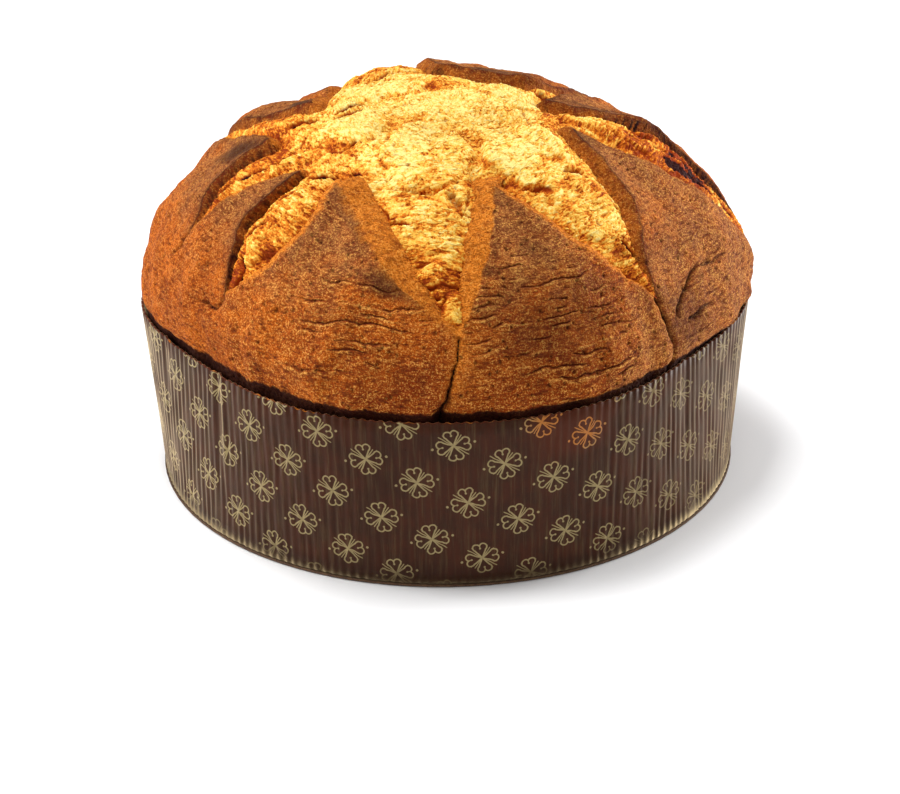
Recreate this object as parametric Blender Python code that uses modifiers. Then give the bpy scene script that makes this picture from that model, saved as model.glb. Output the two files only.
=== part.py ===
import math

import bpy
import numpy as np

MM = 0.001

# Paper case: a fluted wall round a flat card disc
RIM_RADIUS = 105.2
FOOT_RADIUS = 104.0
CASE_HEIGHT = 62.4
WALL_THICKNESS = 1.0
FLUTE_COUNT = 212
FLUTE_DEPTH = 0.45
SCALLOP_HEIGHT = 0.5
DISC_THICKNESS = 0.8
DISC_LEDGE = 0.5
CLEARANCE = 0.3

# How far the baked case leaves a true circle at the rim, by the number of waves round it
RIM_WAVES = {2: -0.4, 4: 2.3, 6: -1.5}

# Loaf: half an ellipsoid above the rim, a slightly smaller drum inside the case
BULGE_RADIUS = 104.6
BULGE_HEIGHT = 66.0
DOME_HEIGHT = 72.0
DRUM_RADIUS = 102.2
DRUM_FOOT_RADIUS = 101.6
FOOT_ROUNDING = 5.0
LOAF_STEPS = 108
DOME_RINGS = 30

# The star cut. Points lie on the flattened dome: x to the right and y to the back, in
# millimetres of crust from the middle. Each petal runs from the foot of one valley, up one
# edge to its tip and down the other edge to the next valley.
PETALS = {
    "front_right": {"valley": (5, -118), "rise": ((12, -98), (16, -80)), "tip": (17, -58),
                    "fall": ((31, -68), (54, -77)), "lift": 4.5},
    "right": {"valley": (86, -80), "rise": ((75, -66), (69, -46)), "tip": (44, -20),
              "fall": ((68, -22), (96, -17), (118, -6)), "lift": 5.0},
    "back_right": {"valley": (128, 4), "rise": ((104, 15), (76, 16), (52, 6)), "tip": (35, -1),
                   "fall": ((46, 20), (60, 46)), "lift": 4.0},
    "back": {"valley": (84, 84), "rise": ((56, 58), (26, 44)), "tip": (-2, 46),
             "fall": ((-8, 70), (-15, 94)), "lift": 5.5},
    "left_back": {"valley": (-30, 112), "rise": ((-38, 80), (-45, 44)), "tip": (-44, 6),
                  "fall": ((-58, 22), (-76, 42)), "lift": 4.5},
    "left": {"valley": (-100, 62), "rise": ((-84, 28), (-70, 4)), "tip": (-62, -15),
             "fall": ((-78, -24),), "lift": 4.0},
    "left_front": {"valley": (-98, -33), "rise": ((-74, -36),), "tip": (-51, -40),
                   "fall": ((-69, -46), (-79, -56)), "lift": 3.5},
    "front_left": {"valley": (-78, -69), "rise": ((-66, -76), (-50, -71)), "tip": (-37, -52),
                   "fall": ((-28, -72), (-18, -95)), "lift": 4.5},
}

# Cracks that run on from a valley towards the rim, on the same flattened dome
CRACKS = {
    "front": ((5, -114), (4, -124), (1, -133), (-2, -142)),
    "right_front": ((84, -79), (92, -84), (104, -88), (106, -94)),
    "right": ((124, 2), (134, 5), (142, 4)),
    "back": ((-29, 108), (-34, 128), (-36, 138)),
    "left_front": ((-77, -68), (-86, -71), (-94, -74)),
}

LIP_WIDTH = 3.0
LIP_REACH = 9.0
VALLEY_DROP = 6.5
CRUMB_RISE = 6.0
CRUMB_REACH = 16.0
CRACK_DEPTH = 3.0
CRACK_HALF_WIDTH = 3.0
SNAP_REACH = 2.3

# Slow swells of the baked crust: length of a wave, its height and its phase
SWELLS = ((61.0, 0.9, 0.4), (37.0, 0.6, 2.1), (23.0, 0.4, 4.4))


def clear_scene():
    for old in list(bpy.data.objects):
        bpy.data.objects.remove(old, do_unlink=True)


def make_material(name, colour, roughness):
    material = bpy.data.materials.new(name)
    material.use_nodes = True
    shader = material.node_tree.nodes["Principled BSDF"]
    shader.inputs["Base Color"].default_value = (*colour, 1.0)
    shader.inputs["Roughness"].default_value = roughness
    shader.inputs["Metallic"].default_value = 0.0
    return material


def turned_object(name, outline, closed, steps, collection, material):
    """Turn an outline of (radius, height) points in millimetres once round the Z axis."""
    mesh = bpy.data.meshes.new(name + "_outline")
    points = [(radius * MM, 0.0, height * MM) for radius, height in outline]
    edges = [(i, i + 1) for i in range(len(points) - 1)]
    if closed:
        edges.append((len(points) - 1, 0))
    mesh.from_pydata(points, edges, [])
    profile = bpy.data.objects.new(name + "_outline", mesh)
    bpy.context.scene.collection.objects.link(profile)
    screw = profile.modifiers.new("Turn", "SCREW")
    screw.angle = math.tau
    screw.steps = steps
    screw.render_steps = steps
    screw.use_merge_vertices = True
    screw.merge_threshold = 0.00001
    graph = bpy.context.evaluated_depsgraph_get()
    turned = bpy.data.meshes.new_from_object(profile.evaluated_get(graph))
    turned.name = name
    bpy.data.objects.remove(profile, do_unlink=True)
    turned.materials.clear()
    turned.materials.append(material)
    body = bpy.data.objects.new(name, turned)
    collection.objects.link(body)
    return body


def read_points(body):
    flat = np.empty(len(body.data.vertices) * 3)
    body.data.vertices.foreach_get("co", flat)
    return flat.reshape(-1, 3) / MM


def write_points(body, points):
    body.data.vertices.foreach_set("co", (points * MM).ravel())
    body.data.update()


def shade(body, sharp_degrees):
    body.data.shade_smooth()
    body.data.set_sharp_from_angle(angle=math.radians(sharp_degrees))


def turn_angle(points):
    """Angle round the loaf, 0 at the front and growing to the right."""
    return np.arctan2(points[:, 0], -points[:, 1])


def rim_wave(angle):
    return sum(size * np.cos(waves * angle) for waves, size in RIM_WAVES.items())


def smooth_step(low, high, value):
    part = np.clip((value - low) / (high - low), 0.0, 1.0)
    return part * part * (3.0 - 2.0 * part)


def out_of_round(points, share):
    """Push points out or in so that they follow the case's uneven outline."""
    grown = 1.0 + share * rim_wave(turn_angle(points)) / RIM_RADIUS
    points[:, 0] *= grown
    points[:, 1] *= grown


def rounded_line(points, pieces=6):
    """A smooth line through the given points (Catmull-Rom)."""
    knots = np.array([points[0], *points, points[-1]], dtype=float)
    steps = np.arange(pieces)[:, None] / pieces
    line = []
    for a, b, c, d in zip(knots, knots[1:], knots[2:], knots[3:]):
        line.append(0.5 * (2.0 * b + (c - a) * steps
                           + (2.0 * a - 5.0 * b + 4.0 * c - d) * steps ** 2
                           + (3.0 * b - a - 3.0 * c + d) * steps ** 3))
    line.append(knots[-1:])
    return np.concatenate(line)


def nearest_on_line(places, line):
    """For each place: distance to a line, nearest point on it, and how far along, 0 to 1."""
    nearest = np.full(len(places), 1e9)
    along = np.zeros(len(places))
    foot = places.copy()
    for i, (start, end) in enumerate(zip(line, line[1:])):
        step = end - start
        part = np.clip((places - start) @ step / (step @ step), 0.0, 1.0)
        point = start + part[:, None] * step
        gap = np.linalg.norm(places - point, axis=1)
        closer = gap < nearest
        nearest[closer] = gap[closer]
        along[closer] = (i + part[closer]) / (len(line) - 1)
        foot[closer] = point[closer]
    return nearest, foot, along


def inside_outline(places, outline):
    inside = np.zeros(len(places), dtype=bool)
    for (x1, y1), (x2, y2) in zip(outline, np.roll(outline, -1, axis=0)):
        if y1 == y2:
            continue
        crosses = (places[:, 1] < y1) != (places[:, 1] < y2)
        inside ^= crosses & (places[:, 0] < x1 + (places[:, 1] - y1) * (x2 - x1) / (y2 - y1))
    return inside


def star_edges():
    """Each petal's crust edge as a line from valley to valley, with the petal's lift."""
    names = list(PETALS)
    edges = []
    for name, following in zip(names, names[1:] + names[:1]):
        petal = PETALS[name]
        up = rounded_line([petal["valley"], *petal["rise"], petal["tip"]])
        down = rounded_line([petal["tip"], *petal["fall"], PETALS[following]["valley"]])
        edges.append((up, down, petal["lift"]))
    return edges


def snap_to_star(places):
    """Slide the places that lie close beside a crust edge onto it, so that the edge is crisp."""
    nearest = np.full(len(places), SNAP_REACH)
    snapped = places.copy()
    for up, down, _ in star_edges():
        for line in (up, down):
            gap, foot, _ = nearest_on_line(places, line)
            closer = gap < nearest
            nearest[closer] = gap[closer]
            snapped[closer] = foot[closer]
    return snapped


def crust_relief(places):
    """Height of petals, lips, torn crumb and cracks over the plain dome, in millimetres."""
    edges = star_edges()
    opening = np.concatenate([np.concatenate([up[:-1], down[:-1]]) for up, down, _ in edges])
    crumb = inside_outline(places, opening)
    nearest = np.full(len(places), 1e9)
    lift = np.zeros(len(places))
    for up, down, tip_lift in edges:
        for line, towards_tip in ((up, 1.0), (down, 0.0)):
            gap, _, along = nearest_on_line(places, line)
            closer = gap < nearest
            nearest[closer] = gap[closer]
            share = along if towards_tip else 1.0 - along
            lift[closer] = tip_lift * smooth_step(0.0, 0.75, share[closer])
    relief = np.zeros(len(places))
    for length, height, phase in SWELLS:
        across = places[:, 0] / length * math.tau + phase
        relief += height * np.sin(across) * np.cos(places[:, 1] / length * math.tau - phase)
    lip = lift * np.exp(-nearest / LIP_REACH)
    torn = smooth_step(0.0, LIP_WIDTH, nearest)
    mound = CRUMB_RISE * (1.0 - np.exp(-nearest / CRUMB_REACH))
    drop = VALLEY_DROP * (0.35 + 0.65 * np.clip(lift / 4.0, 0.0, 1.0))
    relief += np.where(crumb, lift * (1.0 - torn) - drop * torn + mound * torn, lip)
    for route in CRACKS.values():
        gap, _, _ = nearest_on_line(places, rounded_line(route))
        relief -= CRACK_DEPTH * np.exp(-(gap / CRACK_HALF_WIDTH) ** 2)
    return relief


def dome_arc():
    """Angles down the dome's ellipse and the length of crust from the middle to each."""
    turn = np.linspace(0.0, math.pi / 2, 400)
    speed = np.hypot(BULGE_RADIUS * np.cos(turn), DOME_HEIGHT * np.sin(turn))
    length = np.concatenate([[0.0], np.cumsum((speed[1:] + speed[:-1]) / 2 * np.diff(turn))])
    return turn, length


def flattened(points, turn, length):
    """Where each point of the plain loaf lies on the flattened dome."""
    radius = np.hypot(points[:, 0], points[:, 1])
    above = np.maximum(points[:, 2] - BULGE_HEIGHT, 0.0)
    arc = np.interp(np.arctan2(radius / BULGE_RADIUS, above / DOME_HEIGHT), turn, length)
    angle = turn_angle(points)
    return np.stack([arc * np.sin(angle), -arc * np.cos(angle)], axis=1)


def loaf_outline():
    turn, length = dome_arc()
    outline = []
    for ring in range(DOME_RINGS + 1):
        angle = np.interp(ring / DOME_RINGS * length[-1], length, turn)
        outline.append((BULGE_RADIUS * math.sin(angle) if ring else 0.0,
                        BULGE_HEIGHT + DOME_HEIGHT * math.cos(angle)))
    foot = DISC_THICKNESS + CLEARANCE
    outline.append((DRUM_RADIUS + 1.1, CASE_HEIGHT - 0.4))
    outline.append((DRUM_RADIUS, CASE_HEIGHT - 5.0))
    outline.append(((DRUM_RADIUS + DRUM_FOOT_RADIUS) / 2, CASE_HEIGHT / 2))
    for corner in range(4):
        angle = corner / 3 * math.pi / 2
        outline.append((DRUM_FOOT_RADIUS - FOOT_ROUNDING * (1.0 - math.cos(angle)),
                        foot + FOOT_ROUNDING * (1.0 - math.sin(angle))))
    outline.append((DRUM_FOOT_RADIUS * 0.5, foot))
    outline.append((0.0, foot))
    return outline


def make_loaf(collection):
    material = make_material("baked_crust", (0.40, 0.16, 0.045), 0.75)
    loaf = turned_object("loaf", loaf_outline(), False, LOAF_STEPS, collection, material)
    points = read_points(loaf)
    turn, length = dome_arc()
    dome = points[:, 2] > BULGE_HEIGHT + 1.0
    places = flattened(points, turn, length)
    places[dome] = snap_to_star(places[dome])
    angle = np.arctan2(places[:, 0], -places[:, 1])
    slope = np.interp(np.hypot(places[:, 0], places[:, 1]), length, turn)
    points[dome, 0] = BULGE_RADIUS * (np.sin(slope) * np.sin(angle))[dome]
    points[dome, 1] = -BULGE_RADIUS * (np.sin(slope) * np.cos(angle))[dome]
    points[dome, 2] = BULGE_HEIGHT + DOME_HEIGHT * np.cos(slope[dome])
    radius = np.hypot(points[:, 0], points[:, 1])
    on_dome = smooth_step(CASE_HEIGHT - 1.0, CASE_HEIGHT + 14.0, points[:, 2])
    relief = crust_relief(places) * on_dome
    outward = np.stack([np.sin(slope) / BULGE_RADIUS, np.cos(slope) / DOME_HEIGHT], axis=1)
    outward /= np.linalg.norm(outward, axis=1, keepdims=True)
    out_of_round(points, smooth_step(0.0, 60.0, radius)
                 * np.clip(points[:, 2] / CASE_HEIGHT, 0.0, 1.0))
    points[:, 0] += relief * outward[:, 0] * np.sin(angle)
    points[:, 1] -= relief * outward[:, 0] * np.cos(angle)
    points[:, 2] += relief * outward[:, 1]
    write_points(loaf, points)
    shade(loaf, 50.0)


def make_case_wall(collection):
    material = make_material("fluted_paper", (0.085, 0.042, 0.028), 0.45)
    foot = DISC_THICKNESS + CLEARANCE
    outline = [
        (RIM_RADIUS, CASE_HEIGHT),
        (FOOT_RADIUS, foot),
        (FOOT_RADIUS - WALL_THICKNESS, foot),
        (RIM_RADIUS - WALL_THICKNESS, CASE_HEIGHT),
    ]
    wall = turned_object("case_wall", outline, True, FLUTE_COUNT * 2, collection, material)
    points = read_points(wall)
    angle = turn_angle(points)
    crest = np.cos(FLUTE_COUNT * angle)
    rise = np.clip((points[:, 2] - foot) / (CASE_HEIGHT - foot), 0.0, 1.0)
    radius = np.hypot(points[:, 0], points[:, 1])
    middle = RIM_RADIUS * rise + FOOT_RADIUS * (1.0 - rise) - WALL_THICKNESS / 2
    outer = radius > middle
    fluted = np.where(outer, 1.0 + FLUTE_DEPTH / 2 * (crest - 1.0) / radius, 1.0)
    points[:, 0] *= fluted
    points[:, 1] *= fluted
    points[:, 2] += SCALLOP_HEIGHT / 2 * crest * (rise > 0.5)
    out_of_round(points, rise)
    write_points(wall, points)
    shade(wall, 50.0)


def make_case_base(collection):
    material = make_material("raw_card", (0.42, 0.30, 0.19), 0.8)
    radius = FOOT_RADIUS + DISC_LEDGE
    bevel = 0.2
    outline = [
        (0.0, DISC_THICKNESS),
        (radius - bevel, DISC_THICKNESS),
        (radius, DISC_THICKNESS - bevel),
        (radius, bevel),
        (radius - bevel, 0.0),
        (0.0, 0.0),
    ]
    base = turned_object("case_base", outline, False, 96, collection, material)
    shade(base, 30.0)


def main():
    clear_scene()
    collection = bpy.data.collections.new("panettone")
    bpy.context.scene.collection.children.link(collection)
    make_loaf(collection)
    make_case_wall(collection)
    make_case_base(collection)


main()
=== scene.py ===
import math
import bpy
import numpy as np
from mathutils import Matrix, Vector


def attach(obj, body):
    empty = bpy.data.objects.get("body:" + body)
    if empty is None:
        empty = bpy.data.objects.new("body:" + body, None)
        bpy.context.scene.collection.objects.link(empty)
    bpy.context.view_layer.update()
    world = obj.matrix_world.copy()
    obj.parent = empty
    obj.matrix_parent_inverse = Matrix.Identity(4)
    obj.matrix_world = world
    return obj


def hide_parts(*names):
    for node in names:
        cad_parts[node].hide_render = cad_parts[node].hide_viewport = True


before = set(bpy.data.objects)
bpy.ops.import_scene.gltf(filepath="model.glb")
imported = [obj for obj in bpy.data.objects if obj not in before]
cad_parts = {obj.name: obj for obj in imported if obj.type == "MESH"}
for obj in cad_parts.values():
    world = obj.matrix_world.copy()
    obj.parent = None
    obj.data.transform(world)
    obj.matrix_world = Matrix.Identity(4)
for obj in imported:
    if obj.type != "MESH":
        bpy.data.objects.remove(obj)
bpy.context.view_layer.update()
print("frame loaded:", ", ".join(sorted(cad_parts)))

mm = 0.001

# The plain shape that crust and crumb are raised on, in millimetres
dome = {
    "bulgeRadius": 104.6,
    "bulgeHeight": 66,
    "crown": 72,             # from the bulge up to the plain top
    "rimRadius": 105.2,
    "rimWaves": {2: -0.4, 4: 2.3, 6: -1.5},    # waves round the rim: how many and how high
    "tuck": 1.7,               # how far the crust draws in before it meets the paper
    "overhang": 1.3,           # how far it swells over the paper at the right,
    "swellFrom": (44, 64),  # from here, in degrees from the front,
    "swellTo": (95, 130),  # to here
    "skirt": 15,             # crust carried on down inside the case
    "skirtIn": 2.2,            # how far that stands inside the paper at the right
}

# The star cut, on the flattened dome: x to the right, y to the back, millimetres of crust
# from the crown. A petal runs from one valley's foot up to its tip and down to the next.
# Each of its two torn sides has a width, a drop, how brown it is and how softly it starts.
petals = {
    "frontRight": {"valley": (5, -115), "rise": ((12, -98), (16, -80)), "tip": (17, -59),
                   "fall": ((31, -68), (46, -76), (60, -79)), "lift": 1,
                   "sides": ((8, 2.4, 0, 0.8), (2.6, 1.4, 0.1, 1))},
    "right": {"valley": (86, -80), "rise": ((75, -66), (69, -46)), "tip": (45, -21),
              "fall": ((68, -22), (96, -17), (118, -6)), "lift": 1.4,
              "sides": ((5.2, 3.4, 0.8, 0.6), (2, 2, 0.3, 1))},
    "backRight": {"valley": (128, 3), "rise": ((104, 9), (76, 9), (52, 0)), "tip": (35, -2),
                  "fall": ((48, 19), (64, 46)), "lift": 2.2,
                  "sides": ((3, 4, 1.3, 0.5), (3, 4, 0.6, 1))},
    "back": {"valley": (84, 84), "rise": ((57, 56), (42, 28), (22, 19)), "tip": (-1, 29),
             "fall": ((-8, 62), (-15, 94)), "lift": 2.6,
             "sides": ((3.5, 4.5, 1.2, 0.6), (4, 4, 0.8, 1))},
    "leftBack": {"valley": (-30, 112), "rise": ((-38, 80), (-45, 44)), "tip": (-45, 6),
                 "fall": ((-57, 14), (-73, 25), (-88, 44)), "lift": 0.3,
                 "sides": ((5, 4, 0.5, 0.8), (3.4, 4, 1, 1))},
    "left": {"valley": (-100, 62), "rise": ((-92, 36), (-79, 13), (-70, 3)), "tip": (-60, -12),
             "fall": ((-71, -15), (-83, -21)), "lift": 1,
             "sides": ((2.4, 2.4, 0.5, 1), (4, 4.8, 1.2, 0.5))},
    "leftFront": {"valley": (-98, -32), "rise": ((-76, -35),), "tip": (-51, -40),
                  "fall": ((-62, -46), (-74, -48), (-81, -57)), "lift": 1.4,
                  "sides": ((1.8, 1.6, 0.2, 1), (1.6, 4, 1.2, 0.6))},
    "frontLeft": {"valley": (-89, -73), "rise": ((-72, -76), (-55, -72), (-43, -63)),
                  "tip": (-37, -52), "fall": ((-29, -72), (-18, -95)), "lift": 1,
                  "sides": ((3, 1.4, 0, 1.6), (9.3, 2.4, 0.12, 3.6))},
}

# Where the crust cracks on from a valley towards the paper: depth, then the route. The first
# three split the crust.
cracks = {
    "front": (2.2, (5, -115), (4, -124), (1, -133), (-3, -142), (-3, -158)),
    "rightFront": (2.2, (86, -80), (94, -85), (104, -88), (107, -97), (112, -110)),
    "back": (1.8, (-30, 112), (-34, 128), (-38, 142), (-42, 152)),
    "leftFront": (1.1, (-89, -73), (-94, -75), (-98, -72), (-104, -64)),
    "leftSplit": (1, (-98, -32), (-105, -33), (-111, -31)),
    "leftNick": (0.5, (-100, -69), (-106, -60), (-109, -55)),
    "right": (1.6, (126, 3), (134, 6), (144, 4)),
    "rightCreaseLow": (1.3, (97, -82), (101, -64), (103, -48)),
    "rightCreaseHigh": (1.3, (105, -77), (112, -64), (117, -54)),
    "rightCreaseSide": (1, (104, -50), (110, -40), (113, -30)),
    "backRight": (1.6, (84, 84), (94, 96), (104, 106)),
}


# Plain numbers and outlines

def held(value):  # kept between 0 and 1
    return np.clip(value, 0, 1)


def smooth(low, high, value):  # 0 below low, 1 above high, eased between
    part = held((value - low) / (high - low))
    return part * part * (3 - 2 * part)


def fall(low, high, value):  # 1 below low, 0 above high
    return 1 - smooth(low, high, value)


def hashed(ix, iy, seed):  # a fixed number from 0 to 1 for each whole place
    mixed = (ix.astype(np.int64) * 374761393 + iy.astype(np.int64) * 668265263 + seed * 2246822519)
    mixed = (mixed ^ (mixed >> 13)) * 1274126177
    mixed &= 0xFFFFFFFF
    return ((mixed ^ (mixed >> 16)) & 0xFFFFFF) / float(0xFFFFFF)


def noise(places, size, seed):  # soft noise, about -1 to 1, with bumps of the given size
    x = places[..., 0] / size
    y = places[..., 1] / size
    ix = np.floor(x)
    iy = np.floor(y)
    fx = x - ix
    fy = y - iy
    total = 0
    wx = fx * fx * fx * (fx * (fx * 6 - 15) + 10)
    wy = fy * fy * fy * (fy * (fy * 6 - 15) + 10)
    for dx in (0, 1):
        for dy in (0, 1):
            turn = hashed(ix + dx, iy + dy, seed) * math.tau
            push = np.cos(turn) * (fx - dx) + np.sin(turn) * (fy - dy)
            total = total + push * (wx if dx else 1 - wx) * (wy if dy else 1 - wy)
    return total * 1.5


def layered(places, size, seed, layers=3, keep=0.5):  # the same with finer bumps on top
    total = 0
    for layer in range(layers):
        total = total + noise(places, size / 2 ** layer, seed + layer * 17) * keep ** layer
    return total


def pores(places, size, seed):  # distance to the nearest of scattered points, in sizes
    x = places[..., 0] / size
    y = places[..., 1] / size
    ix = np.floor(x)
    iy = np.floor(y)
    near = np.full(x.shape, 9)
    pick = np.zeros(x.shape)
    for dx in (-1, 0, 1):
        for dy in (-1, 0, 1):
            px = ix + dx + hashed(ix + dx, iy + dy, seed)
            py = iy + dy + hashed(ix + dx, iy + dy, seed + 5)
            gap = np.hypot(px - x, py - y)
            closer = gap < near
            near = np.where(closer, gap, near)
            pick = np.where(closer, hashed(ix + dx, iy + dy, seed + 9), pick)
    return near, pick


def joined(*values):  # values side by side
    return np.stack(values, axis=1)


def gapTo(places, x=0, y=0):  # how far places lie from one point
    return np.hypot(places[:, 0] - x, places[:, 1] - y)


def fromFront(places):  # the turn from the front round to the right, radians
    return np.arctan2(places[:, 0], -places[:, 1])


def oval(places, x, y, half, width, degrees=0):  # 0 in the middle, 1 on its edge
    a = math.radians(degrees)
    dx, dy = places[:, 0] - x, places[:, 1] - y
    return np.hypot((dx * math.cos(a) + dy * math.sin(a)) / half,
                    (dy * math.cos(a) - dx * math.sin(a)) / width)


def hill(value, half):  # 1 where value is 0, gently down to 0 on both sides
    return np.exp(-(value / half) ** 2)


def around(places, line, margin):  # which places are in the box round a line
    low, high = line.min(axis=0) - margin, line.max(axis=0) + margin
    return ((places > low) & (places < high)).all(axis=1)


def running(steps):  # how far along each point of a line is
    return np.concatenate([[0], np.cumsum(steps)])


def roundedLine(points, pieces=10):  # a smooth line through the points
    knots = np.array([points[0], *points, points[-1]], dtype=float)
    steps = np.arange(pieces)[:, None] / pieces
    line = []
    for a, b, c, d in zip(knots, knots[1:], knots[2:], knots[3:]):
        line.append(0.5 * (2 * b + (c - a) * steps
                           + (2 * a - 5 * b + 4 * c - d) * steps ** 2
                           + (3 * b - a - 3 * c + d) * steps ** 3))
    line.append(knots[-1:])
    return np.concatenate(line)


def ragged(line, spread, seed):  # a torn line keeps its ends
    length = running(np.linalg.norm(np.diff(line, axis=0), axis=1))
    count = int(length[-1] / 0.9) + 2
    at = np.linspace(0, length[-1], count)
    fine = joined(np.interp(at, length, line[:, 0]), np.interp(at, length, line[:, 1]))
    along = np.gradient(fine, axis=0)
    along /= np.linalg.norm(along, axis=1, keepdims=True)
    across = joined(-along[:, 1], along[:, 0])
    ends = smooth(0, 5, at) * smooth(0, 5, length[-1] - at)
    push = (noise(fine, 6, seed) * 0.9 + noise(fine, 2.2, seed + 1) * 0.45) * spread * ends
    return fine + across * push[:, None]


def nearestOn(places, line):  # gap to a line, its nearest point and how far along that is
    near = np.full(len(places), 1e9)
    foot = places.copy()
    along = np.zeros(len(places))
    everyone = np.arange(len(places))
    rough = np.append(np.arange(0, len(line) - 1, 8), len(line) - 1)
    for knots, reach in ((rough, 1e9), (np.arange(len(line)), 3)):
        some = everyone[near < reach] if reach < 1e9 else everyone
        near[some] = 1e9
        spots = places[some]
        gaps, feet, shares = near[some], foot[some], along[some]
        for i, j in zip(knots, knots[1:]):
            step = line[j] - line[i]
            part = held((spots - line[i]) @ step / (step @ step))
            point = line[i] + part[:, None] * step
            gap = np.hypot(spots[:, 0] - point[:, 0], spots[:, 1] - point[:, 1])
            closer = gap < gaps
            gaps[closer] = gap[closer]
            feet[closer] = point[closer]
            shares[closer] = (i + part[closer] * (j - i)) / (len(line) - 1)
        near[some], foot[some], along[some] = gaps, feet, shares
    return near, foot, along


def insideOf(rows, outline):  # rows of places, each at one y
    inside = np.zeros(rows.shape[:2], dtype=bool)
    start, end = outline, np.roll(outline, -1, axis=0)
    for row, places in enumerate(rows):
        y = places[0, 1]
        crosses = (start[:, 1] < y) != (end[:, 1] < y)
        a, b = start[crosses], end[crosses]
        at = np.sort(a[:, 0] + (y - a[:, 1]) * (b[:, 0] - a[:, 0]) / (b[:, 1] - a[:, 1]))
        inside[row] = np.searchsorted(at, places[:, 0]) % 2 == 1
    return inside


# The dome

def domeProfile():
    turn = np.linspace(0, math.pi / 2, 500)
    radius = dome["bulgeRadius"] * np.sin(turn)
    height = dome["bulgeHeight"] + dome["crown"] * np.cos(turn)
    down = np.linspace(0.25, dome["skirt"], 60)
    radius = np.concatenate([radius, dome["bulgeRadius"] + 0 * down])
    height = np.concatenate([height, dome["bulgeHeight"] - down])
    length = running(np.hypot(np.diff(radius), np.diff(height)))
    return length, radius, height


profile = domeProfile()
skirtEnd = profile[0][-1]


def rimWave(angle):
    return sum(size * np.cos(waves * angle) for waves, size in dome["rimWaves"].items())


def onDome(places, lift):
    length, radii, heights = profile
    reach = gapTo(places)
    angle = fromFront(places)
    radius = np.interp(reach, length, radii)
    height = np.interp(reach, length, heights)
    outward = -np.interp(reach, length, np.gradient(heights, length))
    upward = np.interp(reach, length, np.gradient(radii, length))
    degrees = np.degrees(angle)
    over = smooth(*dome["swellFrom"], degrees) * fall(*dome["swellTo"], degrees)
    draw = dome["tuck"] * (1 - over) * fall(62.5, 68.5, height)
    swollen = fall(66, 92, height) * smooth(62.5, 65, height)
    draw -= dome["overhang"] * over * swollen
    draw += dome["skirtIn"] * over * fall(62, 65.5, height)
    grown = 1 + smooth(0, 60, radius) * rimWave(angle) / dome["rimRadius"]
    radius = (radius - draw) * grown + lift * outward
    height = height + lift * upward
    return joined(radius * np.sin(angle), -radius * np.cos(angle), height)


# The star's edges, torn a little, and the outline of the crumb between them

def starEdges():
    names = list(petals)
    edges = {}
    for i, name in enumerate(names):
        petal = petals[name]
        following = petals[names[(i + 1) % len(names)]]
        rise = roundedLine([petal["valley"], *petal["rise"], petal["tip"]])
        fall = roundedLine([petal["tip"], *petal["fall"], following["valley"]])
        edges[name] = (ragged(rise, 0.75, 40 + i), ragged(fall, 0.75, 60 + i))
    return edges


def starLine(names):  # the torn edges of these petals, end to end
    return np.concatenate([line[:-1] for name in names for line in edges[name]])


edges = starEdges()
opening = starLine(petals)
crackLines = {name: ragged(roundedLine(route), 0.9, 90 + i)
              for i, (name, (depth, *route)) in enumerate(cracks.items())}


def edgeReading(places, names):  # the nearest torn edge, and the sides around
    near = np.full(len(places), 1e9)
    reading = {"foot": places.copy()}
    for key in ("lift", "width", "drop", "brown", "blend"):
        reading[key] = np.zeros(len(places))
    softWidth, softDrop, weights = 0, 0, 0
    for name in names:
        for side, line in enumerate(edges[name]):
            gap, foot, along = nearestOn(places, line)
            share = along if side == 0 else 1 - along
            ease = smooth(0, 0.45, share)
            width, drop, brown, blend = petals[name]["sides"][side]
            found = {
                "foot": foot, "lift": petals[name]["lift"] * smooth(0, 0.75, share),
                "width": width * (0.25 + 0.75 * ease), "drop": drop * (0.35 + 0.65 * ease),
                "brown": np.full(len(gap), brown), "blend": np.full(len(gap), blend),
            }
            weight = np.exp(-gap / 3.5) + 1e-9
            softWidth = softWidth + weight * found["width"]
            softDrop = softDrop + weight * found["drop"]
            weights = weights + weight
            closer = gap < near
            near[closer] = gap[closer]
            for key, values in found.items():
                reading[key][closer] = values[closer]
    return {**reading, "near": near, "softWidth": softWidth / weights,
            "softDrop": softDrop / weights}


# Sheets of fine mesh over the flattened dome

def hexSheet(low, high, spacing):
    rows = int((high[1] - low[1]) / (spacing * 0.866)) + 2
    columns = int((high[0] - low[0]) / spacing) + 2
    x = low[0] + (np.arange(columns)[None, :] + 0.5 * (np.arange(rows) % 2)[:, None]) * spacing
    y = low[1] + np.arange(rows)[:, None] * spacing * 0.866 + 0 * x
    index = np.arange(rows * columns).reshape(rows, columns)
    a, b = index[:-1, :-1], index[:-1, 1:]
    c, d = index[1:, :-1], index[1:, 1:]
    even = (np.arange(rows - 1) % 2 == 0)[:, None]
    first = np.stack([a, b, np.where(even, c, d)], axis=-1)
    second = np.stack([np.where(even, b, a), d, c], axis=-1)
    faces = np.concatenate([first.reshape(-1, 3), second.reshape(-1, 3)])
    return np.stack([x, y], axis=-1), faces


def trimmed(places, faces, keep, *flags):
    faces = faces[keep[faces].all(axis=1)]
    used = np.unique(faces)
    renumber = np.zeros(len(places), dtype=np.int64)
    renumber[used] = np.arange(len(used))
    return (places[used], renumber[faces], *(flag[used] for flag in flags))


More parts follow.
